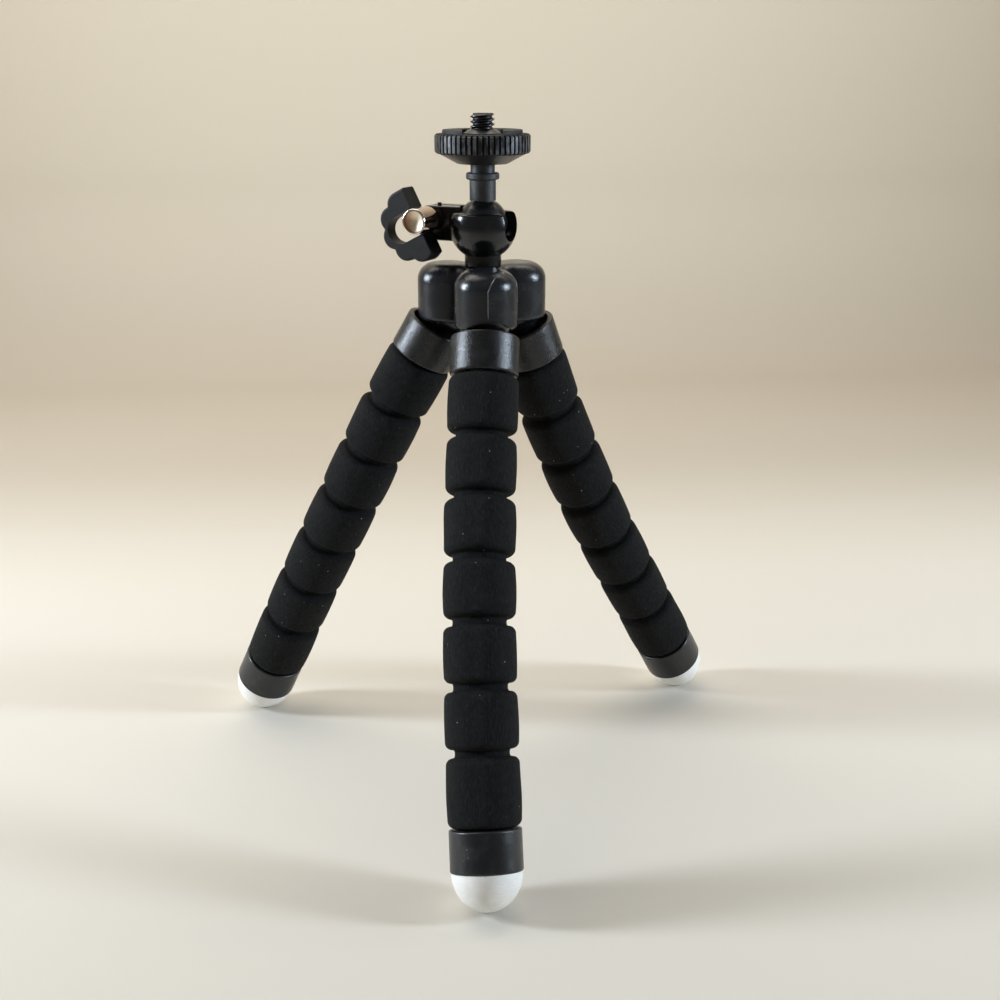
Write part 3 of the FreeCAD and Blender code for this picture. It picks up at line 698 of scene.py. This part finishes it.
legShape = {
    "lobeOffset": 10.5,
    "collarEnd": 15.64,
    "pitch": 16.0,
    "grooves": 6,
    "lastRun": 18.0,
    "seat": 0.3,
    # lobe azimuth, first azimuth, drift by the foot, tilt of each run
    "front": (0.0, -9.0, 9.6, (26.77, 30.17, 32.27, 30.47, 27.67, 26.47, 26.77)),
    "left": (-120.0, -105.9, -22.7, (29.99, 27.39, 27.19, 27.79, 27.89, 27.89, 28.39)),
    "right": (120.0, 118.8, 4.4, (22.25, 25.25, 27.25, 29.45, 31.25, 32.25, 31.65)),
}

foamShape = {
    "radius": 9.12,
    "crown": 0.12,
    "edge": 1.75,
    "gap": 2.0,
    "neck": 6.9,
    "bore": 6.86,
    "toe": 0.45,
    "around": 132,
    "along": 30,
    "edgePoints": 12,
    "toePoints": 6,
    "borePoints": 6,
    "waves": 7,
    "waver": 0.045,
    "waverStart": 0.3,
    "waverRun": 1.4,
    "grainShift": {"front": 0, "left": 70, "right": 140},
    "seed": 7,
}


class Station:
    # a pivot on a leg and the straight run that starts there
    def __init__(self, point, tilt, azimuth):
        self.point = point
        lean, turn = math.radians(-tilt), math.radians(azimuth)
        self.euler = (lean, 0.0, turn)
        cosLean, sinLean, cosTurn, sinTurn = math.cos(lean), math.sin(lean), math.cos(turn), math.sin(turn)
        aboutX = np.array([[1, 0, 0], [0, cosLean, -sinLean], [0, sinLean, cosLean]])
        aboutZ = np.array([[cosTurn, -sinTurn, 0], [sinTurn, cosTurn, 0], [0, 0, 1]])
        self.turn = aboutZ @ aboutX
        self.down = self.turn @ np.array([0.0, 0.0, -1.0])

    def carry(self, local):
        # leg coordinates in mm, hanging down from the pivot, to the row frame in metres
        return self.point + local @ self.turn.T * mm


def legStations(leg):
    lobe, start, drift, tilts = legShape[leg]
    point = headFoot + ringDirection(lobe) * legShape["lobeOffset"] * mm
    count = legShape["grooves"]
    stations = []
    length = legShape["collarEnd"] + legShape["pitch"]
    for index in range(count + 1):
        station = Station(point, tilts[index], start + drift * index / count)
        stations.append(station)
        point = point + station.down * length * mm
        length = legShape["pitch"]
    return stations


def gridFaces(rows, columns, wrapRows):
    # quads of a grid whose columns close on themselves, and whose rows may too
    row = np.arange(rows if wrapRows else rows - 1)[:, None]
    column = np.arange(columns)[None, :]
    nextRow, nextColumn = (row + 1) % rows, (column + 1) % columns
    corners = [row * columns + column, nextRow * columns + column,
               nextRow * columns + nextColumn, row * columns + nextColumn]
    return np.stack([c + 0 * column + 0 * row for c in corners], axis=-1).reshape(-1, 4).tolist()


def rodFaces(rows, columns):
    # rings joined into a rod, whose ends are closed to the two points that follow the rings
    rim = np.arange(columns)
    following = (rim + 1) % columns
    last = (rows - 1) * columns
    firstCap = np.stack([np.full(columns, rows * columns), rim, following], axis=-1)
    lastCap = np.stack([np.full(columns, rows * columns + 1), last + following, last + rim], axis=-1)
    return gridFaces(rows, columns, False) + firstCap.tolist() + lastCap.tolist()


def makeMesh(name, points, faces, finish, legPlace=None):
    mesh = bpy.data.meshes.new(name)
    mesh.from_pydata(points.tolist(), [], faces)
    mesh.polygons.foreach_set("use_smooth", np.ones(len(mesh.polygons), bool))
    if legPlace is not None:
        held = mesh.attributes.new("legPlace", "FLOAT_VECTOR", "POINT")
        held.data.foreach_set("vector", legPlace.astype(np.float32).ravel())
    mesh.materials.append(finish.material)
    mesh.update()
    piece = bpy.data.objects.new(name, mesh)
    bpy.context.scene.collection.objects.link(piece)
    return piece


def arcPoints(centre, radius, start, end, count):
    # (radius, height) pairs on a circle's arc
    angles = np.radians(np.linspace(start, end, count))
    return np.stack([centre[0] + radius * np.cos(angles), centre[1] + radius * np.sin(angles)], axis=-1)


def foamProfile(top, bottom, topOpen, bottomOpen):
    # Half section of a segment from its bore over both shoulders: a long crown between two rounded
    # edges, and a small toe where an edge runs into the neck of a groove.
    radius, edge, bore, toe = (foamShape[key] for key in ("radius", "edge", "bore", "toe"))
    edgePoints, toePoints, borePoints = (foamShape[key] for key in ("edgePoints", "toePoints", "borePoints"))
    topEdge = arcPoints((radius - edge, top - edge), edge, 90, 0, edgePoints)
    height = np.linspace(top - edge, bottom + edge, foamShape["along"])
    swell = foamShape["crown"] * (1 - ((height - (top + bottom) / 2) / ((top - bottom) / 2 - edge)) ** 2)
    side = np.stack([radius + swell, height], axis=-1)[1:-1]
    lowEdge = arcPoints((radius - edge, bottom + edge), edge, 0, -90, edgePoints)
    topToe, lowToe = np.array([[bore, top]]), np.array([[bore, bottom]])
    if topOpen:
        topToe = arcPoints((bore + toe, top + toe), toe, 180, 270, toePoints)
    if bottomOpen:
        lowToe = arcPoints((bore + toe, bottom - toe), toe, 90, 180, toePoints)
    inner = np.linspace(lowToe[-1, 1], topToe[0, 1], borePoints + 2)[1:-1]
    inside = np.stack([np.full(borePoints, bore), inner], axis=-1)
    return np.concatenate([topToe, topEdge, side, lowEdge, lowToe, inside])


def foamSegment(leg, number, station, top, bottom, finish, random):
    # The profile turned around the leg's axis; its outside wavers by a few slow waves around and
    # along the segment.
    profile = foamProfile(top, bottom, number > 1, number <= legShape["grooves"])
    around = foamShape["around"]
    angle = np.linspace(0, 2 * math.pi, around, endpoint=False)
    radius, height = profile[:, :1], profile[:, 1:]
    outer = np.clip((radius - foamShape["neck"] - foamShape["waverStart"]) / foamShape["waverRun"], 0, 1)
    waver = np.zeros((len(profile), around))
    for wave in range(1, foamShape["waves"] + 1):
        phase, slope = random.uniform(0, 2 * math.pi), random.uniform(-0.5, 0.5)
        waver += random.normal(0, 1.0 / wave ** 0.5) * np.cos(wave * angle + phase + slope * height)
    swollen = radius + outer * waver * foamShape["waver"]
    local = np.stack([swollen * np.cos(angle), swollen * np.sin(angle), height + 0 * angle], axis=-1)
    local = local.reshape(-1, 3)
    # the grain's coordinates run on from segment to segment
    grain = local + np.array([0, 0, -legShape["pitch"] * number]) + foamShape["grainShift"][leg]
    faces = gridFaces(len(profile), around, True)
    piece = makeMesh(f"{leg}_foam_{number}_skin", station.carry(local), faces, finish, grain)
    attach(piece, f"{leg}_segment_{number}")
    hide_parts(f"{leg}_foam_{number}")


neckShape = {"radius": 6.9, "reach": 2.1, "waist": 0.12, "around": 96, "along": 15}


def neckPlug(leg, number, before, after, finish):
    # Round plug through a groove: rings about a short curve that leaves along one run and arrives
    # along the next, closed by a centre point at each end.
    reach, around, along = (neckShape[key] for key in ("reach", "around", "along"))
    share = np.linspace(0, 1, along)[:, None]
    pivot = after.point
    start, end = pivot - before.down * reach * mm, pivot + after.down * reach * mm
    spine = (1 - share) ** 2 * start + 2 * share * (1 - share) * pivot + share ** 2 * end
    axes = [(1 - share) * before.turn[:, i] + share * after.turn[:, i] for i in (0, 1)]
    angle = np.linspace(0, 2 * math.pi, around, endpoint=False)[None, :, None]
    radius = neckShape["radius"] - neckShape["waist"] * np.sin(math.pi * share) ** 2
    ring = np.cos(angle) * axes[0][:, None, :] + np.sin(angle) * axes[1][:, None, :]
    points = spine[:, None, :] + radius[:, :, None] * mm * ring
    points = np.concatenate([points.reshape(-1, 3), start[None], end[None]])
    grain = (points - pivot) @ after.turn / mm + np.array([0, 0, -legShape["pitch"] * number])
    piece = makeMesh(f"{leg}_neck_{number}", points, rodFaces(along, around), finish, grain)
    pivot - before.down * mm
    pivot + after.down * mm
    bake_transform(piece)
    return piece


def buildLeg(leg, finish, random):
    stations = legStations(leg)
    half, seat, pitch = foamShape["gap"] / 2, legShape["seat"], legShape["pitch"]
    collarEnd, grooves = legShape["collarEnd"], legShape["grooves"]
    foamSegment(leg, 1, stations[0], -(collarEnd + seat), -(collarEnd + pitch - half), finish, random)
    for number in range(2, grooves + 1):
        foamSegment(leg, number, stations[number - 1], -half, half - pitch, finish, random)
    foamSegment(leg, grooves + 1, stations[-1], -half, seat - legShape["lastRun"], finish, random)
    plugs = [
        neckPlug(leg, number, stations[number - 1], stations[number], finish)
        for number in range(1, grooves + 1)
    ]
    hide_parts(f"{leg}_sleeve", f"{leg}_wire")
    dress(legFinish(f"{leg} collar plastic", stations[0], collarLook), f"{leg}_collar")
    dress(legFinish(f"{leg} knuckle plastic", stations[0], knuckleLook), f"{leg}_knuckle")
    dress(legFinish(f"{leg} cap plastic", stations[-1], capLook), f"{leg}_end_cap")
    dress(legFinish(f"{leg} tip rubber", stations[-1], tipLook), f"{leg}_foot_tip")


# The parting line that stands proud on the hub's front lobe: up its wall, then over its shoulder and
# round its side. Each turn is (azimuth from the front, height angle on the shoulder). Lengths in mm.
seamShape = {
    "lobe": 0.0,
    "wall": 8.25,
    "shoulder": 4.6,
    "top": 12.5,
    "wallHeights": (0.35, 2.6, 5.2),
    "footAzimuth": -0.5,
    "farAzimuth": 72.0,
    "turns": (
        (2.0, 12.0), (7.0, 30.0), (15.0, 47.0), (27.0, 63.0), (42.0, 71.0),
        (56.0, 68.0), (64.0, 58.0), (70.0, 42.0), (72.0, 22.0),
    ),
    "bead": 0.19,
    "sunk": 0.06,
    "taper": 0.06,
    "thinnest": 0.05,
    "sides": 10,
    "samples": 140,
}


def seamRoute():
    # points on the lobe's skin and its outward direction there, in mm from the lobe's own axis
    wall, shoulder, top = seamShape["wall"], seamShape["shoulder"], seamShape["top"]
    points, outward = [], []
    heights = [*seamShape["wallHeights"], top - shoulder]
    rises = [(seamShape["footAzimuth"], height, 0.0) for height in heights]
    rises += [(azimuth, top - shoulder, lift) for azimuth, lift in seamShape["turns"]]
    rises += [(seamShape["farAzimuth"], height, 0.0) for height in heights[::-1]]
    for azimuth, height, lift in rises:
        flat, angle = ringDirection(azimuth), math.radians(lift)
        normal = flat * math.cos(angle) + np.array([0, 0, math.sin(angle)])
        points.append(flat * (wall - shoulder) + np.array([0, 0, height]) + normal * shoulder)
        outward.append(normal)
    return np.array(points), np.array(outward)


def smoothed(rows, samples):
    # Catmull-Rom curve through the rows, which passes through each of them; its place stays just short
    # of the last row
    padded = np.concatenate([2 * rows[:1] - rows[1:2], rows, 2 * rows[-1:] - rows[-2:-1]])
    place = np.linspace(0, len(rows) - 1.0001, samples)
    span = place.astype(int)
    t = (place - span)[:, None]
    a, b, c, d = (padded[span + shift] for shift in range(4))
    bend, twist = 2 * a - 5 * b + 4 * c - d, 3 * b - 3 * c + d - a
    return 0.5 * (2 * b + (c - a) * t + bend * t ** 2 + twist * t ** 3)


def seamBead(finish):
    # A round bead along the route, most of it sunk in the lobe, thinning to nothing at both ends.
    points, outward = seamRoute()
    samples, sides = seamShape["samples"], seamShape["sides"]
    route, normal = smoothed(points, samples), smoothed(outward, samples)
    along = np.gradient(route, axis=0)
    along /= np.linalg.norm(along, axis=1, keepdims=True)
    across = np.cross(along, normal)
    across /= np.linalg.norm(across, axis=1, keepdims=True)
    lift = np.cross(across, along)
    share = np.linspace(0, 1, samples)
    ends = np.minimum(share, 1 - share) / seamShape["taper"]
    thick = seamShape["bead"] * np.clip(ends, seamShape["thinnest"], 1)
    angle = np.linspace(0, 2 * math.pi, sides, endpoint=False)[None, :, None]
    ring = np.cos(angle) * across[:, None] + np.sin(angle) * lift[:, None]
    centre = route - lift * seamShape["sunk"]
    body = centre[:, None] + ring * thick[:, None, None]
    origin = headFoot + ringDirection(seamShape["lobe"]) * legShape["lobeOffset"] * mm
    points = np.concatenate([body.reshape(-1, 3), centre[:1], centre[-1:]]) * mm + origin
    piece = makeMesh("hub_seam", points, rodFaces(samples, sides), finish)
    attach(piece, "hub_and_housing")


def makeWorld():
    world = bpy.data.worlds.new("studio")
    world.use_nodes = True
    background = next(n for n in world.node_tree.nodes if n.type == "BACKGROUND")
    background.inputs["Color"].default_value = worldLook["colour"]
    background.inputs["Strength"].default_value = worldLook["level"]
    bpy.context.scene.world = world


def makeStage():
    # Floor that bends up into a wall: a profile along Y and Z carried along X.
    bend, wall, width = stageLook["bendRadius"], stageLook["wallDistance"], stageLook["floorSize"]
    corner = np.radians(np.linspace(-90, 0, stageLook["bendPoints"]))
    curve = np.stack([wall - bend + bend * np.cos(corner), bend + bend * np.sin(corner)], axis=-1)
    profile = np.concatenate([[[stageLook["floorFront"], 0.0]], curve, [[wall, stageLook["wallHeight"]]]])
    points = np.column_stack([np.tile([-width, width], len(profile)), np.repeat(profile, 2, axis=0)])
    row = np.arange(len(profile) - 1) * 2
    faces = np.stack([row, row + 1, row + 3, row + 2], axis=-1).tolist()
    made = Finish("stage paint", Roughness=stageLook["rough"])
    place = made.place()
    mottle = made.noise(place, stageLook["mottleScale"], 3.0).between(*stageLook["mottleSpan"])
    depth, height = made.split(place)[1:3]
    # painted shade: the floor darkens into a band where it bends up into the wall
    colour = made.mix(depth.between(*stageLook["backSpan"]), stageLook["floor"], stageLook["back"])
    colour = made.mix(height.between(0.0, bend * stageLook["wallBlend"]), colour, stageLook["wall"])
    made.set(Base_Color=made.mix(mottle * stageLook["mottleShare"], colour, stageLook["mottle"]))
    makeMesh("stage", points, faces, made)


# Making the picture

bpy.context.scene.view_settings.view_transform = "Standard"
placeCamera()
for lampName, facts in lamps.items():
    placeLamp(lampName, *facts)
makeWorld()
makeStage()
print("stage: camera, lamps and floor")

dress(glossyBlack("glossy black plastic", glossy), "ball_housing")
dress(glossyBlack("hub plastic", hubLook), "hub")
seamBead(glossyBlack("seam painted highlight plastic", seamHighlightLook))
dress(ribbedBlack("knurled wheel plastic", ribbed), "lock_wheel")
dress(glossyBlack("ball plastic", ballLook), "ball")
dress(grainyBlack("knob plastic", grainy), "clamp_knob")
dress(screwMetal("plated screw steel", screwLook), "camera_screw")
dress(padRubber("pad rubber", padLook), "mount_pad")
dress(metal("satin stem metal", stemLook), "stem")
dress(barrelMetal("bright barrel metal", barrelLook), "clamp_barrel")
dress(metal("bolt metal", boltLook), "clamp_bolt")
dress(metal("hub screw steel", hiddenScrewLook), "hub_screw", "hub_washer", "clamp_nut")
print("stage: head finished")

foam = foamFinish("charcoal foam", foamLook)
random = np.random.default_rng(foamShape["seed"])
for legName in ("front", "left", "right"):
    buildLeg(legName, foam, random)
    print("stage:", legName, "leg finished")
